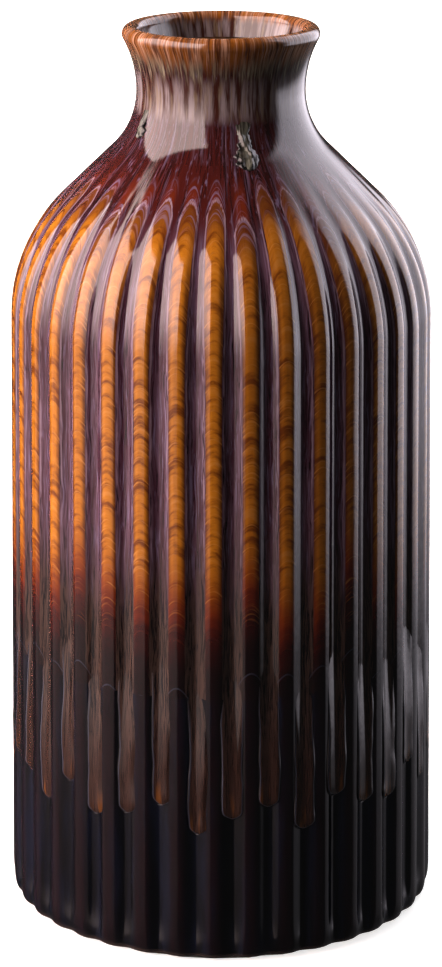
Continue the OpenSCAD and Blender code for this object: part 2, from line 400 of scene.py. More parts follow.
def glazePlaces(tree):
    # everything a pattern needs to know: height in mm, the rib it is on, and how far across it
    here = addNode(tree, "ShaderNodeTexCoord").outputs["Object"]
    axes = addNode(tree, "ShaderNodeSeparateXYZ", {0: here})
    height = addNode(tree, "ShaderNodeMath", {0: axes.outputs[2], 1: 1 / mm}, operation="MULTIPLY")
    backward = addNode(tree, "ShaderNodeMath", {0: axes.outputs[1], 1: -1.0}, operation="MULTIPLY")
    turn = addNode(tree, "ShaderNodeMath", {0: axes.outputs[0], 1: backward}, operation="ARCTAN2")
    phase = addNode(tree, "ShaderNodeMath", {0: turn, 1: vaseShape["ribCount"] / math.tau},
                    operation="MULTIPLY")
    flat = addNode(tree, "ShaderNodeCombineXYZ", {0: axes.outputs[0], 1: axes.outputs[1]})
    radius = addNode(tree, "ShaderNodeVectorMath", {0: flat}, operation="LENGTH").outputs["Value"]
    unit = addNode(tree, "ShaderNodeVectorMath", {0: flat}, operation="NORMALIZE")
    aroundMm = addNode(tree, "ShaderNodeVectorMath", {0: unit, "Scale": crestRadius}, operation="SCALE")
    parts = addNode(tree, "ShaderNodeSeparateXYZ", {0: aroundMm})
    surface = addNode(tree, "ShaderNodeCombineXYZ", {0: parts.outputs[0], 1: parts.outputs[1], 2: height})
    rib = addNode(tree, "ShaderNodeMath", {0: phase}, operation="ROUND")
    across = addNode(tree, "ShaderNodeMath", {0: phase, 1: rib}, operation="SUBTRACT")
    spread = addNode(tree, "ShaderNodeMath", {0: across}, operation="ABSOLUTE")
    ribMod = addNode(tree, "ShaderNodeMath", {0: rib, 1: vaseShape["ribCount"]}, operation="FLOORED_MODULO")
    chances = addNode(tree, "ShaderNodeTexWhiteNoise", {"W": ribMod}, noise_dimensions="1D")
    split = addNode(tree, "ShaderNodeSeparateColor", {0: chances.outputs["Color"]})
    # glaze hangs in arcs over each rib, so bands and edges follow this height, not the level one
    square = addNode(tree, "ShaderNodeMath", {0: spread, 1: spread}, operation="MULTIPLY")
    arch = addNode(tree, "ShaderNodeMath", {0: square, 1: vaseShape["archRise"] * 4, 2: height},
                   operation="MULTIPLY_ADD")
    # slow sideways drift that keeps the streaks from running dead straight
    slow = addNode(tree, "ShaderNodeMapping", {"Vector": surface, "Scale": (0.16, 0.16, 0.05)})
    drift = addNode(tree, "ShaderNodeTexNoise", {"Vector": slow, "Scale": 1.0, "Detail": 2.0})
    wander = addNode(tree, "ShaderNodeVectorMath", {0: drift.outputs["Color"], 1: (2.4, 2.4, 0.0),
                                                    2: surface}, operation="MULTIPLY_ADD")
    return {"height": height, "surface": wander, "rib": ribMod, "across": across, "spread": spread,
            "radius": mix(tree, radius, 1 / mm, 0.0), "arch": arch,
            "chance": split.outputs[0], "chanceToo": split.outputs[1]}


def streaks(tree, places, width, length, seed, detail=4.0):
    # noise drawn out down the pot: width and length of a streak in millimetres
    scaled = addNode(tree, "ShaderNodeMapping",
                     {"Vector": places["surface"], "Location": (seed * 13.7, seed * 7.1, seed * 3.3),
                      "Scale": (1 / width, 1 / width, 1 / length)})
    texture = addNode(tree, "ShaderNodeTexNoise", {"Vector": scaled, "Scale": 1.0, "Detail": detail,
                                                   "Roughness": 0.6})
    return texture.outputs[0]


def mix(tree, first, share, second):
    # first * share + second, for shifting one pattern by another
    return addNode(tree, "ShaderNodeMath", {0: first, 1: share, 2: second}, operation="MULTIPLY_ADD")


def mask(tree, value, low, high, amount=1.0, within=1.0):
    # rises softly from nothing to amount while the value goes from low to high
    soft = addNode(tree, "ShaderNodeMapRange", {"Value": value, "From Min": low, "From Max": high,
                                                "To Min": 0.0, "To Max": amount},
                   interpolation_type="SMOOTHSTEP")
    if within == 1.0:
        return soft
    return addNode(tree, "ShaderNodeMath", {0: soft, 1: within}, operation="MULTIPLY")


def wash(tree, under, over, value, low, high, amount=1.0, within=1.0):
    # lays one colour over another where the value passes from low to high
    share = mask(tree, value, low, high, amount, within)
    under = linear(under) if isinstance(under, str) else under
    over = linear(over) if isinstance(over, str) else over
    return addNode(tree, "ShaderNodeMix", {"Factor": share, "A": under, "B": over}, data_type="RGBA")


def thinLine(tree, value, centre, width, amount=1.0, within=1.0):
    # thin soft line where the value is at its centre
    off = addNode(tree, "ShaderNodeMath", {0: value, 1: centre}, operation="SUBTRACT")
    away = addNode(tree, "ShaderNodeMath", {0: off}, operation="ABSOLUTE")
    return mask(tree, away, width, width * 0.25, amount, within)


def glossFinish(tree, shader, places, colour, roughness=0.07, bump=0.03):
    # fired gloss glaze: glass-like, with a faint orange peel
    tree.links.new(colour.outputs[2], shader.inputs["Base Color"])
    shader.inputs["IOR"].default_value = 1.5
    grain = streaks(tree, places, 1.0, 16.0, 10, 3.0)
    peel = mix(tree, grain, 0.25, streaks(tree, places, 2.4, 5.0, 9, 2.0))
    rough = addNode(tree, "ShaderNodeMapRange", {"Value": peel, "From Min": 0.5, "From Max": 1.2,
                                                 "To Min": roughness * 0.8, "To Max": roughness * 1.3})
    tree.links.new(rough.outputs[0], shader.inputs["Roughness"])
    relief = addNode(tree, "ShaderNodeBump", {"Strength": 1.0, "Distance": bump * mm, "Height": peel})
    tree.links.new(relief.outputs[0], shader.inputs["Normal"])


# reactive amber glaze over a plum one: it breaks golden on the crests and pools purple in the flutes
bodyLook = {
    "amber": "#a86816", "amberDeep": "#5c2a09", "amberPale": "#bb7f3c", "rustBrownAndEdgeShade": "#43190a",
    "rust": "#672409", "maroon": "#3a110d", "maroonDark": "#14090b",
    "plum": "#3a1c28", "plumPale": "#59404f", "lavender": "#776d8c", "hem": "#8b7582",
    "taupe": "#42322c", "nearBlack": "#0c090c", "paleBlueGlint": "#444d61",
    "stripeHalf": 0.225,     # half the amber strip, as a share of the pitch
    "stripeSpread": 0.075,   # added to it on the shoulder
    "archTop": 246.0,        # where the lowest amber strips end, mm
    "archVary": 11.0,
    "fadeTop": 133.0,        # where the amber starts to darken on its way down, mm
    "hemHeight": 86.0,       # where the black glaze shows under the amber one
    "hemVary": 24.0,
}


def fluteColour(tree, places):
    # pooled glaze of the flutes, the same for the body and the runs that leave it
    broad = streaks(tree, places, 2.2, 45, 2)
    fine = streaks(tree, places, 0.5, 20, 1)
    colour = wash(tree, bodyLook["plum"], bodyLook["plumPale"], broad, 0.40, 0.66)
    colour = wash(tree, colour, bodyLook["lavender"], fine, 0.50, 0.72, 0.6)
    colour = wash(tree, colour, bodyLook["nearBlack"], fine, 0.46, 0.34, 0.75)
    low = mix(tree, broad, 30.0, places["height"])
    dusk = wash(tree, bodyLook["nearBlack"], bodyLook["taupe"], streaks(tree, places, 0.45, 16, 3),
                0.36, 0.62)
    return wash(tree, colour, dusk, low, 172, 128)


def shoulderColour(tree, places):
    # maroon with purple flecks, the same on both sides of the joint with the neck
    speck = streaks(tree, places, 1.5, 3.2, 5, 2.0)
    fine = streaks(tree, places, 1.7, 22, 6, 2.0)
    cloud = streaks(tree, places, 5, 12, 8, 2.0)
    colour = wash(tree, bodyLook["maroon"], bodyLook["maroonDark"], streaks(tree, places, 2.6, 22, 7, 2.5),
                  0.42, 0.68, 0.75)
    colour = wash(tree, colour, bodyLook["lavender"], speck, 0.56, 0.70, 0.55,
                  mask(tree, cloud, 0.4, 0.62))
    return wash(tree, colour, bodyLook["lavender"], fine, 0.55, 0.76, 0.4)


def crestColour(tree, places, rings):
    # going down, the amber of a crest burns to rust, maroon and near black
    jitter = mix(tree, rings, 16.0, mix(tree, places["chance"], 18.0, places["arch"]))
    top = bodyLook["fadeTop"] + 17
    amber = wash(tree, bodyLook["amber"], bodyLook["amberDeep"], rings, 0.46, 0.66, 0.9)
    amber = wash(tree, amber, bodyLook["amberPale"], rings, 0.46, 0.34, 0.5)
    amber = wash(tree, amber, bodyLook["amberDeep"], places["chanceToo"], 0.35, 1.0, 0.6)
    # painted shade: below the shoulder the amber darkens to rust brown towards both edges of each crest, so
    # the crest looks rounded
    amber = wash(tree, amber, bodyLook["rustBrownAndEdgeShade"], places["spread"], 0.10, 0.23, 0.8,
                 mask(tree, places["height"], 250, 215))
    amber = wash(tree, amber, bodyLook["rust"], jitter, top + 12, top - 14)
    amber = wash(tree, amber, bodyLook["maroon"], jitter, top - 2, top - 20)
    return wash(tree, amber, bodyLook["maroonDark"], jitter, top - 10, top - 32)


def ringNoise(tree, places, rise, detail):
    # bands across a rib that hang in arcs, different on every rib
    spot = addNode(tree, "ShaderNodeCombineXYZ", {0: mix(tree, places["rib"], 7.3, 0.0),
                                                  1: mix(tree, places["across"], 0.9, 0.0),
                                                  2: mix(tree, places["arch"], rise, 0.0)})
    texture = addNode(tree, "ShaderNodeTexNoise", {"Vector": spot, "Scale": 1.0, "Detail": detail,
                                                   "Roughness": 0.62})
    return texture.outputs[0]


def makeBodyGlaze():
    material, tree, shader = newGlaze("amberPlumReactiveGlaze")
    places = glazePlaces(tree)
    height, spread, arch = places["height"], places["spread"], places["arch"]
    rings = ringNoise(tree, places, 0.30, 5.0)
    thinRings = ringNoise(tree, places, 0.95, 2.0)
    fine = streaks(tree, places, 0.5, 20, 1)
    crest = crestColour(tree, places, rings)
    crest = wash(tree, crest, bodyLook["amberPale"], thinRings, 0.56, 0.68, 0.5,
                 mask(tree, height, 108, 140))
    flute = fluteColour(tree, places)

    # the shoulder above the strips, rusty on the crests
    upper = wash(tree, shoulderColour(tree, places), bodyLook["rust"], spread, 0.36, 0.12, 0.6,
                 mask(tree, height, 259, 250))
    ground = wash(tree, flute, upper, mix(tree, fine, 14.0, height), 240, 256)

    # how far outside a strip: arched on top, straight at its sides
    topHere = mix(tree, places["chance"], bodyLook["archVary"], bodyLook["archTop"])
    aboveTop = addNode(tree, "ShaderNodeMath", {0: arch, 1: topHere}, operation="SUBTRACT")
    over = mix(tree, fine, 3.0, aboveTop)
    flared = mask(tree, height, 195, 240, bodyLook["stripeSpread"])
    wide = mix(tree, fine, 0.07, mix(tree, flared, 1.0, bodyLook["stripeHalf"] - 0.035))
    aside = addNode(tree, "ShaderNodeMath", {0: spread, 1: wide}, operation="SUBTRACT")
    asideMm = mix(tree, aside, 12.3, 0.0)   # times the pitch of the ribs
    outside = addNode(tree, "ShaderNodeMath", {0: over, 1: asideMm}, operation="MAXIMUM")

    # darker towards the arch, then pale outlines that nest over the top of each strip
    crest = wash(tree, crest, bodyLook["rustBrownAndEdgeShade"], over, -15, -2, 0.85)
    colour = wash(tree, ground, crest, outside, 0.25, -0.25)
    nest = mask(tree, over, -9, -1, 1.0, mask(tree, over, 8, 3, 1.0, mask(tree, spread, 0.42, 0.3)))
    colour = wash(tree, colour, bodyLook["lavender"], thinRings, 0.5, 0.66, 0.5, nest)
    hems = thinLine(tree, outside, 0.45, 0.5, 0.7, mask(tree, fine, 0.35, 0.62))
    colour = wash(tree, colour, bodyLook["hem"], height, 118, 165, 1.0, hems)
    patchy = mask(tree, thinRings, 0.35, 0.55)
    colour = wash(tree, colour, bodyLook["hem"], over, -4, 0, 0.8,
                  thinLine(tree, outside, 0.3, 0.6, 1.0, patchy))

    # over each crest the black glaze comes through in an arch, edged with a faint painted pale blue highlight
    hemHere = mix(tree, places["chanceToo"], bodyLook["hemVary"], bodyLook["hemHeight"])
    below = addNode(tree, "ShaderNodeMath", {0: arch, 1: hemHere}, operation="SUBTRACT")
    colour = wash(tree, colour, bodyLook["maroonDark"], below, 3.0, -2.0, 0.7,
                  mask(tree, spread, 0.36, 0.3))
    colour = wash(tree, colour, bodyLook["paleBlueGlint"], spread, 0.38, 0.3, 1.0,
                  thinLine(tree, below, 0.0, 0.45, 0.25))
    glossFinish(tree, shader, places, colour)
    return material


# iron-rich tenmoku type glaze: blue-black in the flutes, thin and maroon on the crests
baseLook = {"black": "#07070b", "blue": "#0f1220", "maroon": "#15090d", "edge": "#3b302c"}


def makeBaseGlaze():
    material, tree, shader = newGlaze("ironBlackGlaze")
    places = glazePlaces(tree)
    colour = wash(tree, baseLook["black"], baseLook["blue"], streaks(tree, places, 4, 50, 11), 0.4, 0.66)
    colour = wash(tree, colour, baseLook["maroon"], places["spread"], 0.30, 0.1, 0.9,
                  mask(tree, streaks(tree, places, 1.2, 18, 12), 0.2, 0.6))
    colour = wash(tree, colour, baseLook["edge"], places["height"], 3.4, 1.8, 0.8)
    glossFinish(tree, shader, places, colour)
    return material


# glaze inside: lavender and beige veils over dark maroon
linerLook = {"dark": "#3a1c14", "veil": "#82777a", "beige": "#7a6850"}


def linerColour(tree, places):
    colour = wash(tree, linerLook["dark"], linerLook["veil"], streaks(tree, places, 6, 26, 31), 0.42, 0.62)
    return wash(tree, colour, linerLook["beige"], streaks(tree, places, 2.4, 14, 32), 0.5, 0.66, 0.6)


# the same glaze thick on the neck: maroon and lavender, khaki under the lip, amber on the lip
neckLook = {"maroonDark": "#230b0c", "lavender": "#776a80", "khaki": "#52483c",
            "khakiPale": "#979079", "amber": "#7e4812", "cream": "#b8917a", "lipDark": "#3c1d10"}


def makeNeckGlaze():
    material, tree, shader = newGlaze("streakedMaroonGlaze")
    places = glazePlaces(tree)
    height = places["height"]
    fine = streaks(tree, places, 1.6, 24, 21)
    hair = streaks(tree, places, 1.9, 15, 22)
    broad = streaks(tree, places, 6, 30, 23)
    colour = wash(tree, shoulderColour(tree, places), neckLook["lavender"], fine, 0.50, 0.72, 0.6,
                  mask(tree, mix(tree, broad, 12.0, height), 262, 276))
    colour = wash(tree, colour, neckLook["maroonDark"], hair, 0.5, 0.66, 0.55)
    khaki = wash(tree, neckLook["khaki"], neckLook["khakiPale"], hair, 0.46, 0.64)
    khaki = wash(tree, khaki, neckLook["maroonDark"], broad, 0.47, 0.6, 0.85)
    colour = wash(tree, colour, khaki, mix(tree, fine, 40.0, height), 303, 312, 0.9)
    lip = wash(tree, neckLook["amber"], neckLook["cream"], fine, 0.43, 0.66, 0.85)
    lip = wash(tree, lip, neckLook["lipDark"], hair, 0.46, 0.62, 0.85)
    edge = mix(tree, hair, 12.0, mix(tree, broad, 10.0, height))
    colour = wash(tree, colour, lip, edge, 299, 306)
    inner = mask(tree, places["radius"], lipRadius - 3.4, lipRadius - 4.6)
    colour = wash(tree, colour, linerColour(tree, places), mix(tree, hair, -4.0, height), 297, 294, 1.0,
                  inner)
    glossFinish(tree, shader, places, colour, bump=0.02)
    return material


def makeLinerGlaze():
    material, tree, shader = newGlaze("lavenderVeilGlaze")
    places = glazePlaces(tree)
    glossFinish(tree, shader, places, linerColour(tree, places))
    return material


# bare fired stoneware: matt buff body with iron specks
clayLook = {"buff": "#a98663", "toast": "#7d5a3c", "speck": "#3b271a"}


def makeStoneware():
    material, tree, shader = newGlaze("bareBuffStoneware")
    here = addNode(tree, "ShaderNodeTexCoord").outputs["Object"]
    # grit about 1 mm across, toasted patches about 17 mm
    grit = addNode(tree, "ShaderNodeTexNoise", {"Vector": here, "Scale": 900.0, "Detail": 4.0})
    tone = addNode(tree, "ShaderNodeTexNoise", {"Vector": here, "Scale": 60.0, "Detail": 2.0})
    colour = wash(tree, clayLook["buff"], clayLook["toast"], tone, 0.3, 0.7)
    colour = wash(tree, colour, clayLook["speck"], grit, 0.66, 0.74)
    tree.links.new(colour.outputs[2], shader.inputs["Base Color"])
    shader.inputs["Roughness"].default_value = 0.85
    relief = addNode(tree, "ShaderNodeBump", {"Strength": 1.0, "Distance": 0.15 * mm,
                                              "Height": grit.outputs[0]})
    tree.links.new(relief.outputs[0], shader.inputs["Normal"])
    return material


# run of the upper glaze over the black: translucent brown, with a painted pale highlight just inside its edge
# and a dark line along the edge itself
runLook = {"brown": "#2c1b16", "glow": "#6a3f18", "paleEdgeHighlight": "#4a5468", "rimDark": "#08070a"}


def leafPlaces(tree):
    # how far across a leaf, -1 to 1, and how far up from its tip, 0 to 1
    uv = addNode(tree, "ShaderNodeUVMap", uv_map="runUv")
    axes = addNode(tree, "ShaderNodeSeparateXYZ", {0: uv})
    sideways = addNode(tree, "ShaderNodeMath", {0: mix(tree, axes.outputs[0], 2.0, -1.0)},
                       operation="ABSOLUTE")
    return sideways, axes.outputs[1]


def makeRunGlaze():
    material, tree, shader = newGlaze("translucentBrownRun")
    places = glazePlaces(tree)
    edge, along = leafPlaces(tree)
    fromTip = mix(tree, along, runShape["length"], 0.0)
    colour = fluteColour(tree, places)
    colour = wash(tree, colour, runLook["brown"], fromTip, 46, 14, 0.75)
    lit = mask(tree, streaks(tree, places, 3.0, 60, 42), 0.52, 0.62)
    colour = wash(tree, colour, runLook["glow"], fromTip, 11, 2, 0.75, lit)
    tipSide = addNode(tree, "ShaderNodeMapRange", {"Value": fromTip, "From Min": 3.6, "From Max": 0.0})
    square = addNode(tree, "ShaderNodeMath", {0: tipSide, 1: tipSide}, operation="MULTIPLY")
    field = addNode(tree, "ShaderNodeMath", {0: mix(tree, edge, edge, square)}, operation="SQRT")
    low = mask(tree, fromTip, 50, 30)
    # painted highlight: a thin pale blue-grey line just inside the edge of the lower run, where its rounded
    # edge would catch the light
    colour = wash(tree, colour, runLook["paleEdgeHighlight"], field, 0.78, 0.86, 0.6, low)
    colour = wash(tree, colour, runLook["rimDark"], field, 0.84, 0.93, 1.0, low)
    glossFinish(tree, shader, places, colour, roughness=0.05)
    return material


# lip glaze that crawled: grey-green beige skin with black pits where it pulled back
crawlLook = {"skin": "#5c5d52", "skinDark": "#2b2823", "pit": "#080706"}


def makeCrawlGlaze():
    material, tree, shader = newGlaze("crawledBeigeGlaze")
    places = glazePlaces(tree)
    edge, along = leafPlaces(tree)
    colour = wash(tree, crawlLook["skinDark"], crawlLook["skin"], streaks(tree, places, 2.2, 7, 51),
                  0.38, 0.58)
    ragged = mix(tree, streaks(tree, places, 5.0, 4.0, 52), 2.6, edge)
    colour = wash(tree, colour, crawlLook["pit"], ragged, 1.56, 1.70, 1.0, mask(tree, along, 0.8, 0.4))
    glossFinish(tree, shader, places, colour, roughness=0.26, bump=0.15)
    return material


# the coats, from the foot up and over the lip to the inside

coatTree = buildCoatTree()


def makeCoat(name, outer, inner, material, columnsPerRib=24, sizes=()):
    return bakeNodes(name, profileMesh(name + "Line", outer, inner), coatTree,
                     {"Columns Per Rib": columnsPerRib, "Glaze": material, **dict(sizes)})


lowLine = edgeLine()
baseOuter = lowLine + between(lowLine[-1], (crestAt(baseLine), baseLine), 24)
baseInner = lowLine[::3] + between(lowLine[-1], (crestAt(baseLine), baseLine), 6)
baseCoat = makeCoat("baseCoat", baseOuter, baseInner, makeBaseGlaze())
place(baseCoat, "dark_glaze", "base_glaze")

upperStart = (crestAt(baseLine), baseLine)
bodyOuter = ([upperStart] + between(upperStart, shoulderLine[0], 30) + shoulderLine[1:]
             + between(shoulderLine[-1], jointPoint, 8))
bodyInner = ([upperStart] + between(upperStart, shoulderLine[0], 5) + shoulderLine[4::5]
             + between(shoulderLine[-1], jointPoint, 2))
bodyCoat = makeCoat("bodyCoat", bodyOuter, bodyInner, makeBodyGlaze())
place(bodyCoat, "amber_plum_glaze", "body_glaze")

mouthLine = vaseHeight - vaseShape["mouthDepth"]
flush = {"Coat": 0.0, "Pool": 0.0, "Unevenness": 0.0}
insideSkin = hollowLine(vaseShape["coat"])
insideClay = hollowLine(0)
lipCore = (lipRadius - vaseShape["lipThickness"] / 2, vaseHeight - 2 * vaseShape["coat"])
neckOuter = collarLine + lipLine() + [p for p in reversed(insideSkin) if p[1] > mouthLine]
neckInner = ([(r - vaseShape["coat"], z) for r, z in collarLine[::4]] + [lipCore]
             + [p for p in reversed(insideClay) if p[1] > mouthLine])
neckCoat = makeCoat("neckCoat", neckOuter, neckInner, makeNeckGlaze(), 8, flush)
place(neckCoat, "streaked_glaze", "neck_glaze")

linerCoat = makeCoat("linerCoat", [p for p in insideClay if p[1] < mouthLine],
                     [p for p in insideSkin if p[1] < mouthLine], makeLinerGlaze(), 8, flush)
place(linerCoat, "liner_glaze", "liner_glaze")


# the runs of upper glaze, one in each flute

runShape = {
    "length": 62.0,        # from the tip to where the run is lost in the upper coat
    "width": 7.6,
    "topWidth": 9.6,
    "thickness": 1.5,
    "tipShare": 0.167,     # of the height, mean height of the tips
    "tipVary": 0.018,
    "acrossParts": 12,
    "alongParts": 30,
}


def runTemplate(acrossParts, alongParts):
    # flat closed leaf: x across from -1 to 1, y = 1 on the outer skin, z from the tip up
    points, faces, skins = [(0, 0, 0)], [], {}
    for j in range(1, alongParts + 1):
        v = (j / alongParts) ** 1.7
        for i in range(acrossParts + 1):
            u = math.sin((i / acrossParts - 0.5) * math.pi)
            border = i in (0, acrossParts) or j == alongParts
            for skin in (0, 1):
                if skin and border:
                    skins[i, j, 1] = skins[i, j, 0]
                else:
                    skins[i, j, skin] = len(points)
                    points.append((u, float(skin and not border), v))
    for skin in (0, 1):
        for i in range(acrossParts):
            fan = [0, skins[i + 1, 1, skin], skins[i, 1, skin]]
            faces.append(fan[::-1] if skin else fan)
            for j in range(1, alongParts):
                quad = [skins[i, j, skin], skins[i + 1, j, skin],
                        skins[i + 1, j + 1, skin], skins[i, j + 1, skin]]
                faces.append(quad if skin else quad[::-1])
    mesh = bpy.data.meshes.new("runTemplate")
    mesh.from_pydata(points, [], faces)
    uv = mesh.uv_layers.new(name="runUv")
    for loop in mesh.loops:
        u, _, v = mesh.vertices[loop.vertex_index].co
        uv.data[loop.index].uv = (u / 2 + 0.5, v)
    mesh.update()
    return mesh


def buildRunTree():
    tree, given = startTree("glazeRuns", "Points", {
        "Leaf": ("Object", None),
        "Rib Count": ("Int", vaseShape["ribCount"]),
        "Rib Depth Share": ("Float", vaseShape["ribDepth"] / crestRadius),
        "Crest Fullness": ("Float", vaseShape["crestFullness"]),
        "Foot Radius": ("Float", crestAt(0) * mm),
        "Taper": ("Float", (crestAt(0) - crestAt(100)) / 100),
        "Length": ("Float", runShape["length"] * mm),
        "Half Width": ("Float", runShape["width"] / 2 * mm),
        "Top Half Width": ("Float", runShape["topWidth"] / 2 * mm),
        "Thickness": ("Float", runShape["thickness"] * mm),
        "Mean Tip": ("Float", runShape["tipShare"] * vaseHeight * mm),
        "Tip Vary": ("Float", runShape["tipVary"] * vaseHeight * mm),
        "Seed": ("Float", vaseShape["seed"]),
        "Glaze": ("Material", None),
    }, "Runs")

    # one leaf for each flute, which remembers its own number
    leaf = addNode(tree, "GeometryNodeObjectInfo", {"Object": given.outputs["Leaf"]})
    numbered = addNode(tree, "GeometryNodeInstanceOnPoints",
                       {"Points": given.outputs["Points"], "Instance": leaf.outputs["Geometry"]})
    stored = addNode(tree, "GeometryNodeStoreNamedAttribute",
                     {"Geometry": numbered, "Name": "runNumber",
                      "Value": addNode(tree, "GeometryNodeInputIndex")},
                     domain="INSTANCE", data_type="FLOAT")
    real = addNode(tree, "GeometryNodeRealizeInstances", {0: stored})
    number = addNode(tree, "GeometryNodeInputNamedAttribute", {"Name": "runNumber"}, data_type="FLOAT")
    where = addNode(tree, "GeometryNodeInputPosition")
    axes = addNode(tree, "ShaderNodeSeparateXYZ", {0: where})
    across, skin, along = axes.outputs[0], axes.outputs[1], axes.outputs[2]

    # height of the tip, then of this point
    tipTurn = addNode(tree, "ShaderNodeMath", {0: number, 1: math.radians(137.5)}, operation="MULTIPLY")
    tipSine = addNode(tree, "ShaderNodeMath", {0: tipTurn}, operation="SINE")
    tip = addNode(tree, "ShaderNodeMath", {0: tipSine, 1: given.outputs["Tip Vary"],
                                           2: given.outputs["Mean Tip"]}, operation="MULTIPLY_ADD")
    height = addNode(tree, "ShaderNodeMath", {0: along, 1: given.outputs["Length"], 2: tip},
                     operation="MULTIPLY_ADD")

    # round tip, a waist above it, and a slow wander from side to side
    fromTip = addNode(tree, "ShaderNodeMath", {0: along, 1: given.outputs["Length"]},
                      operation="MULTIPLY")
    tipLeft = addNode(tree, "ShaderNodeMapRange", {"Value": fromTip, "From Min": 0.0,
                                                   "From Max": given.outputs["Half Width"],
                                                   "To Min": 1.0, "To Max": 0.0})
    tipSquare = addNode(tree, "ShaderNodeMath", {0: tipLeft, 1: tipLeft}, operation="MULTIPLY")
    tipRest = addNode(tree, "ShaderNodeMath", {0: 1.0, 1: tipSquare}, operation="SUBTRACT")
    tipRound = addNode(tree, "ShaderNodeMath", {0: tipRest}, operation="SQRT")
    wanderRise = addNode(tree, "ShaderNodeMath", {0: height, 1: 55.0}, operation="MULTIPLY")
    wanderPlace = addNode(tree, "ShaderNodeCombineXYZ", {0: number, 1: wanderRise,
                                                         2: given.outputs["Seed"]})
    widthNoise = addNode(tree, "ShaderNodeTexNoise", {"Vector": wanderPlace, "Scale": 1.0, "Detail": 1.0})
    widthVary = addNode(tree, "ShaderNodeMapRange", {"Value": widthNoise.outputs[0], "From Min": 0.25,
                                                     "From Max": 0.75, "To Min": 0.88, "To Max": 1.08})
    otherNoise = addNode(tree, "FunctionNodeSeparateColor", {0: widthNoise.outputs[1]}).outputs[1]
    drift = addNode(tree, "ShaderNodeMapRange", {"Value": otherNoise, "From Min": 0.25, "From Max": 0.75,
                                                 "To Min": -0.4 * mm, "To Max": 0.4 * mm})
    narrow = addNode(tree, "ShaderNodeMath", {0: given.outputs["Half Width"], 1: widthVary},
                     operation="MULTIPLY")
    opening = addNode(tree, "ShaderNodeMapRange", {"Value": along, "From Min": 0.6, "From Max": 0.97,
                                                   "To Min": narrow,
                                                   "To Max": given.outputs["Top Half Width"]},
                      interpolation_type="SMOOTHERSTEP")
    wider = addNode(tree, "ShaderNodeMath", {0: tipRound, 1: opening}, operation="MULTIPLY")
    side = addNode(tree, "ShaderNodeMath", {0: across, 1: wider, 2: drift}, operation="MULTIPLY_ADD")

    # the wall under this point
    crest = addNode(tree, "ShaderNodeMath", {0: height, 1: given.outputs["Taper"]}, operation="MULTIPLY")
    crestR = addNode(tree, "ShaderNodeMath", {0: given.outputs["Foot Radius"], 1: crest},
                     operation="SUBTRACT")
    sideTurn = addNode(tree, "ShaderNodeMath", {0: side, 1: crestR}, operation="DIVIDE")
    pitch = addNode(tree, "ShaderNodeMath", {0: math.tau, 1: given.outputs["Rib Count"]},
                    operation="DIVIDE")
    flute = addNode(tree, "ShaderNodeMath", {0: number, 1: 0.5}, operation="ADD")
    middle = addNode(tree, "ShaderNodeMath", {0: flute, 1: pitch}, operation="MULTIPLY")
    turn = addNode(tree, "ShaderNodeMath", {0: middle, 1: sideTurn}, operation="ADD")
    ribAngle = addNode(tree, "ShaderNodeMath", {0: turn, 1: given.outputs["Rib Count"]},
                       operation="MULTIPLY")
    keep = ribbing(tree, given, ribAngle)[1]
    wall = addNode(tree, "ShaderNodeMath", {0: crestR, 1: keep}, operation="MULTIPLY")

    # thickness: fullest near the tip, gone where the run leaves the upper coat
    acrossSquare = addNode(tree, "ShaderNodeMath", {0: across, 1: across}, operation="MULTIPLY")
    belly = addNode(tree, "ShaderNodeMath", {0: 1.0, 1: acrossSquare}, operation="SUBTRACT")
    bellyRound = addNode(tree, "ShaderNodeMath", {0: belly, 1: 0.6}, operation="POWER")
    fade = addNode(tree, "ShaderNodeMapRange", {"Value": along, "From Min": 0.2, "From Max": 1.0,
                                                "To Min": 1.0, "To Max": 0.0},
                   interpolation_type="SMOOTHSTEP")
    lift = addNode(tree, "ShaderNodeMath", {0: bellyRound, 1: fade}, operation="MULTIPLY")
    liftTip = addNode(tree, "ShaderNodeMath", {0: lift, 1: tipRound}, operation="MULTIPLY")
    liftSize = addNode(tree, "ShaderNodeMath", {0: liftTip, 1: given.outputs["Thickness"]},
                       operation="MULTIPLY")
    sunk = addNode(tree, "ShaderNodeMath", {0: along, 1: -0.3 * mm, 2: -0.06 * mm},
                   operation="MULTIPLY_ADD")
    liftOut = addNode(tree, "ShaderNodeMath", {0: liftSize, 1: skin, 2: sunk}, operation="MULTIPLY_ADD")
    radius = addNode(tree, "ShaderNodeMath", {0: wall, 1: liftOut}, operation="ADD")

    fromFront = addNode(tree, "ShaderNodeMath", {0: turn, 1: math.pi / 2}, operation="SUBTRACT")
    target = onRing(tree, fromFront, radius, height)
    bent = addNode(tree, "GeometryNodeSetPosition", {"Geometry": real, "Position": target})
    rounded = addNode(tree, "GeometryNodeSetShadeSmooth", {0: bent}, domain="FACE")
    final = addNode(tree, "GeometryNodeRealizeInstances", {0: rounded})
    glazed = addNode(tree, "GeometryNodeSetMaterial", {0: final, "Material": given.outputs["Glaze"]})
    addNode(tree, "NodeGroupOutput", {0: glazed})
    return tree


def makeRuns():
    leaf = bpy.data.objects.new("runLeaf", runTemplate(runShape["acrossParts"], runShape["alongParts"]))
    flutes = bpy.data.meshes.new("flutes")
    flutes.from_pydata([(i * 0.01, 0, 0) for i in range(vaseShape["ribCount"])], [], [])
    bpy.context.scene.collection.objects.link(leaf)
    runs = bakeNodes("glazeRuns", flutes, buildRunTree(), {"Leaf": leaf, "Glaze": makeRunGlaze()})
    bpy.data.objects.remove(leaf)
    return runs


place(makeRuns(), "run_glaze", "glaze_runs")


# the two crawled runs at the foot of the neck, torn and pitted at their lower edges
crawlShape = {
    # degrees round from the front, tip and top above the table, width
    "runs": [(16.0, 258.8, 275.0, 9.0), (-57.0, 265.5, 276.0, 6.4)],
    "thickness": 1.4,
    "lumps": 0.6,
    "ragged": 0.5,
}


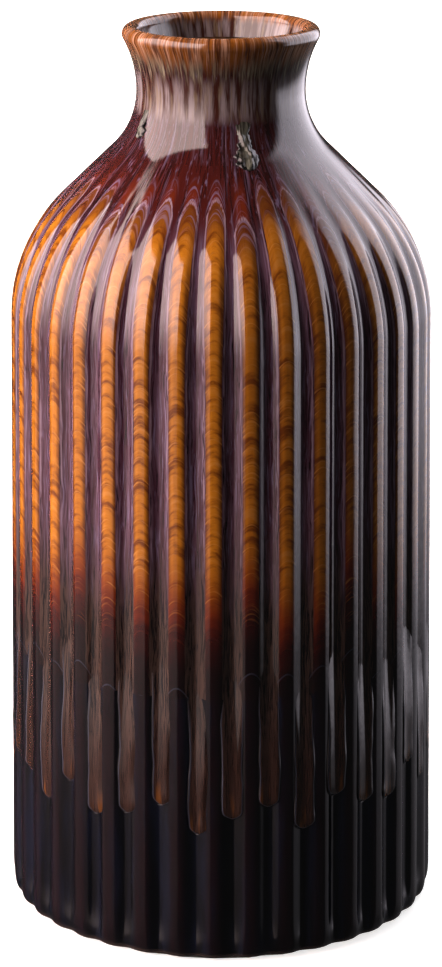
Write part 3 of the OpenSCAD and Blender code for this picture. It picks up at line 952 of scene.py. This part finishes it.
def makeNeckRuns():
    wall = [shoulderLine[-1]] + collarLine + lipLine()[:18]
    joined = bmesh.new()
    for number, (turn, tip, top, width) in enumerate(crawlShape["runs"]):
        leaf = runTemplate(30, 44)
        for vertex in leaf.vertices:
            u, skin, v = vertex.co
            height = tip + (top - tip) * v
            torn = noise.noise((number * 9.0, height * 0.9, 2.0 * math.copysign(1, u)))
            roundTip = math.sqrt(max(0.0, 1 - max(0.0, 1 - (height - tip) / (width / 2)) ** 2))
            half = width / 2 * roundTip * (0.72 + 0.3 * math.cos(v * 5.2)) * (1 + crawlShape["ragged"] * torn)
            aside = u * half
            radius = next((a[0] + (b[0] - a[0]) * (height - a[1]) / (b[1] - a[1])
                           for a, b in zip(wall, wall[1:]) if a[1] <= height <= b[1]), neckRadius)
            lump = noise.noise((aside * 0.75 + number * 5, height * 0.6, 3.3)) * crawlShape["lumps"]
            fade = 1 - smooth((v - 0.45) / 0.5)
            lift = (1 - u * u) ** 0.5 * roundTip * max(0.12, crawlShape["thickness"] * (0.7 + lump)) * fade
            radius += lift * skin - 0.08
            angle = math.radians(turn - 90) + aside / radius
            vertex.co = (radius * math.cos(angle) * mm, radius * math.sin(angle) * mm, height * mm)
        joined.from_mesh(leaf)
        bpy.data.meshes.remove(leaf)
    mesh = bpy.data.meshes.new("neckRuns")
    joined.to_mesh(mesh)
    joined.free()
    mesh.polygons.foreach_set("use_smooth", [True] * len(mesh.polygons))
    mesh.materials.append(makeCrawlGlaze())
    piece = bpy.data.objects.new("neckRuns", mesh)
    bpy.context.scene.collection.objects.link(piece)
    return piece


place(makeNeckRuns(), "crawled_glaze", "neck_runs")


# the bare clay keeps its own shape and only gets its finish

stoneware = makeStoneware()
for part in frame["record"]["subparts"]:
    if part["material_slot"] == "stoneware":
        clay = frame["nodes"][part["node"]]
        clay.data.materials.clear()
        clay.data.materials.append(stoneware)
print("stoneware on the bare clay")


# floor, studio and camera

studio = {
    "leftFrom": -110, "leftTo": -20,      # soft box on the left, degrees from the camera
    "rightFrom": 84, "rightTo": 158,      # soft box on the right
    "leftLevel": 7.8, "rightLevel": 4.4,
    "leftTint": "#ffe4de", "rightTint": "#eee6f2",
    # degrees above the horizon and share of the level, from below the table's edge up
    "leftFalloff": [(-30, 0.01), (-25, 0.015), (-22, 0.022), (-20, 0.04), (-17, 0.09), (-14, 0.15),
                    (-9, 0.24), (-3, 0.45), (4, 0.72), (12, 1.0), (50, 1.0), (53, 0.0)],
    "rightFalloff": [(-30, 0.01), (-24, 0.03), (-21, 0.05), (-19, 0.1), (-17, 0.32), (-14, 0.7),
                     (-8, 1.0), (44, 1.0), (62, 0.0)],
    "leftDiffuse": 1.75, "rightDiffuse": 0.05,   # how much of each box lights the colour itself
    "wrapFrom": 25, "wrapTo": 80,                # that light comes more from the side than the front
    "backFill": 2.4,       # soft light that only shows on the sides turned from the camera
    "backFrom": 112, "backTo": 140,
    "surround": 0.05,
    "tableHalf": 4.0, "tableGlow": 0.72,
}


def makeFloor():
    # matt white table top, lit from within so that it stays even
    mesh = bpy.data.meshes.new("floor")
    half = studio["tableHalf"]
    mesh.from_pydata([(-half, -half, 0), (half, -half, 0), (half, half, 0), (-half, half, 0)], [],
                     [(0, 1, 2, 3)])
    floor = bpy.data.objects.new("floor", mesh)
    bpy.context.scene.collection.objects.link(floor)
    material, tree, shader = newGlaze("paleTable")
    shader.inputs["Base Color"].default_value = linear("#f4f4f3")
    shader.inputs["Roughness"].default_value = 0.9
    shader.inputs["Emission Color"].default_value = linear("#ffffff")
    shader.inputs["Emission Strength"].default_value = studio["tableGlow"]
    mesh.materials.append(material)
    floor.visible_glossy = False
    floor.visible_diffuse = False


def makeStudio():
    world = bpy.data.worlds.new("paleStudio")
    bpy.context.scene.world = world
    world.use_nodes = True
    world.cycles.sampling_method = "NONE"   # so that each kind of ray sees its own share of a box
    tree = world.node_tree
    tree.nodes.clear()
    direction = addNode(tree, "ShaderNodeTexCoord").outputs["Generated"]
    axes = addNode(tree, "ShaderNodeSeparateXYZ", {0: direction})
    backward = addNode(tree, "ShaderNodeMath", {0: axes.outputs[1], 1: -1.0}, operation="MULTIPLY")
    turn = addNode(tree, "ShaderNodeMath", {0: axes.outputs[0], 1: backward}, operation="ARCTAN2")
    degrees = addNode(tree, "ShaderNodeMath", {0: turn}, operation="DEGREES")
    rise = addNode(tree, "ShaderNodeMath", {0: axes.outputs[2]}, operation="ARCSINE")
    elevation = addNode(tree, "ShaderNodeMath", {0: rise}, operation="DEGREES")
    aloft = addNode(tree, "ShaderNodeMath", {0: elevation, 1: 1 / 180, 2: 0.5}, operation="MULTIPLY_ADD")
    rays = addNode(tree, "ShaderNodeLightPath")

    def softBox(low, high, level, falloff, tint, edge, diffuse):
        # a tall panel of light between two compass angles, dimmer where the table cuts it off
        middle = addNode(tree, "ShaderNodeMath", {0: degrees, 1: (low + high) / 2}, operation="SUBTRACT")
        off = addNode(tree, "ShaderNodeMath", {0: middle}, operation="ABSOLUTE")
        inside = mask(tree, off, (high - low) / 2 + edge, (high - low) / 2 - edge, level)
        fall = addNode(tree, "ShaderNodeValToRGB", {"Fac": aloft})
        stops = fall.color_ramp.elements
        while len(stops) < len(falloff):
            stops.new(0.5)
        for stop, (angle, share) in zip(stops, falloff):
            stop.position = angle / 180 + 0.5
            stop.color = (share, share, share, 1)
        strength = addNode(tree, "ShaderNodeMath", {0: inside, 1: fall}, operation="MULTIPLY")
        turned = addNode(tree, "ShaderNodeMath", {0: degrees}, operation="ABSOLUTE")
        sideOn = mask(tree, turned, studio["wrapFrom"], studio["wrapTo"], diffuse)
        less = addNode(tree, "ShaderNodeMath", {0: sideOn, 1: 1.0}, operation="SUBTRACT")
        dimmed = mix(tree, rays.outputs["Is Diffuse Ray"], less, 1.0)
        strength = addNode(tree, "ShaderNodeMath", {0: strength, 1: dimmed}, operation="MULTIPLY")
        return addNode(tree, "ShaderNodeVectorMath", {0: linear(tint)[:3], "Scale": strength},
                       operation="SCALE")

    left = softBox(studio["leftFrom"], studio["leftTo"], studio["leftLevel"], studio["leftFalloff"],
                   studio["leftTint"], 1.5, studio["leftDiffuse"])
    right = softBox(studio["rightFrom"], studio["rightTo"], studio["rightLevel"], studio["rightFalloff"],
                    studio["rightTint"], 7.0, studio["rightDiffuse"])
    room = addNode(tree, "ShaderNodeVectorMath", {0: left, 1: right}, operation="ADD")
    astern = addNode(tree, "ShaderNodeMath", {0: degrees}, operation="ABSOLUTE")
    fill = mask(tree, astern, studio["backFrom"], studio["backTo"], studio["backFill"],
                rays.outputs["Is Diffuse Ray"])
    low = mix(tree, fill, 1.0, studio["surround"])
    room = addNode(tree, "ShaderNodeVectorMath", {0: room, 1: low}, operation="ADD")
    light = addNode(tree, "ShaderNodeBackground", {"Color": room, "Strength": 1.0})
    backdrop = addNode(tree, "ShaderNodeBackground", {"Color": linear("#ffffff"), "Strength": 1.0})
    seen = addNode(tree, "ShaderNodeMixShader", {0: rays.outputs["Is Camera Ray"], 1: light, 2: backdrop})
    addNode(tree, "ShaderNodeOutputWorld", {"Surface": seen})


cameraPlace = {
    "distance": 1.087, "height": 0.4692,  # metres from the axis and above the floor
    "aside": 1.9,                         # degrees towards +X from straight in front
    "pitch": 16.66,                       # degrees down
    "lens": 124.6,
}


def makeCamera():
    data = bpy.data.cameras.new("camera")
    camera = bpy.data.objects.new("camera", data)
    bpy.context.scene.collection.objects.link(camera)
    aside = math.radians(cameraPlace["aside"])
    camera.location = (cameraPlace["distance"] * math.sin(aside),
                       -cameraPlace["distance"] * math.cos(aside), cameraPlace["height"])
    camera.rotation_euler = (math.radians(90 - cameraPlace["pitch"]), 0, aside)
    data.lens = cameraPlace["lens"]
    data.sensor_width = 36
    data.clip_start = 0.01
    bpy.context.scene.camera = camera


makeFloor()
makeStudio()
makeCamera()
bpy.context.scene.view_settings.view_transform = "Standard"
print("floor, studio and camera set")
